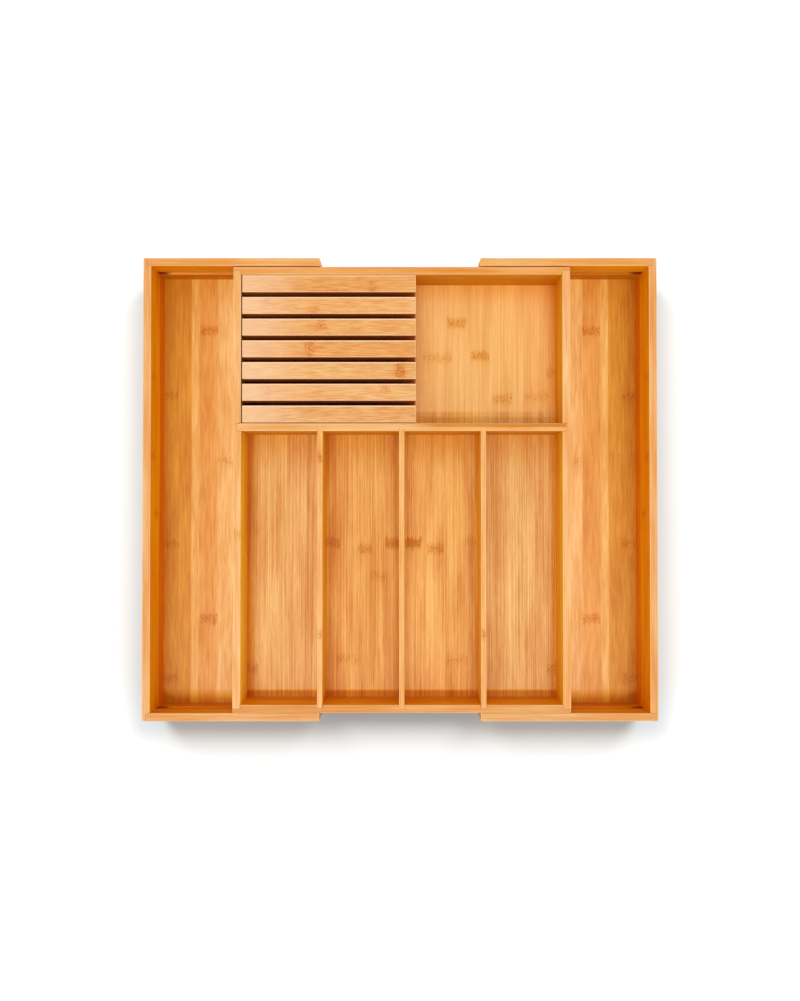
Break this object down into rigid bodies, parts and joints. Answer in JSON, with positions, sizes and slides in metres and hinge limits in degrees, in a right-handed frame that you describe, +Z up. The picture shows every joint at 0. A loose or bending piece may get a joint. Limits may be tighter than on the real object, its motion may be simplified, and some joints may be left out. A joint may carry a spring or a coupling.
{
  "type": "expandable cutlery tray",
  "caption": "Expandable bamboo cutlery tray: divided centre tray, side trays that slide out from under it, and a lift-out slotted knife block.",
  "frame": {"origin": "bottom centre of the tray as it stands pulled out, on the surface that it rests on", "axes": "+Z up; +X to the right, along the way the side trays slide; +Y to the back, where the knife block lies"},
  "size_m": [0.499, 0.449, 0.065],
  "materials": {
    "wall_wood": "satin",
    "floor_wood": "satin",
    "divider_wood": "satin",
    "slide_wood": "satin",
    "block_wood": "satin"
  },
  "bodies": {
    "centre_tray": {"centre_back_wall": "wall_wood", "centre_front_wall": "wall_wood", "centre_left_wall": "wall_wood", "centre_right_wall": "wall_wood", "centre_floor": "floor_wood", "cross_divider": "divider_wood", "left_divider": "divider_wood", "middle_divider": "divider_wood", "right_divider": "divider_wood", "slide_tongue_front_left": "slide_wood", "slide_tongue_back_left": "slide_wood", "slide_tongue_front_right": "slide_wood", "slide_tongue_back_right": "slide_wood"},
    "left_tray": {"left_end_wall": "wall_wood", "left_back_wall": "wall_wood", "left_front_wall": "wall_wood", "left_floor": "floor_wood"},
    "right_tray": {"right_end_wall": "wall_wood", "right_back_wall": "wall_wood", "right_front_wall": "wall_wood", "right_floor": "floor_wood"},
    "knife_block": {"knife_slat_1": "block_wood", "knife_slat_2": "block_wood", "knife_slat_3": "block_wood", "knife_slat_4": "block_wood", "knife_slat_5": "block_wood", "knife_slat_6": "block_wood", "knife_slat_7": "block_wood", "knife_rail_left": "block_wood", "knife_rail_right": "block_wood"}
  },
  "joints": [
    {"name": "left_tray_slide", "type": "slide", "parent": "centre_tray", "child": "left_tray", "axis": [1, 0, 0], "range_m": [0, 0.079]},
    {"name": "right_tray_slide", "type": "slide", "parent": "centre_tray", "child": "right_tray", "axis": [-1, 0, 0], "range_m": [-0.0033, 0.0757]},
    {"name": "knife_block_lift", "type": "slide", "parent": "centre_tray", "child": "knife_block", "axis": [0, 0, 1], "range_m": [0, 0.06]}
  ]
}
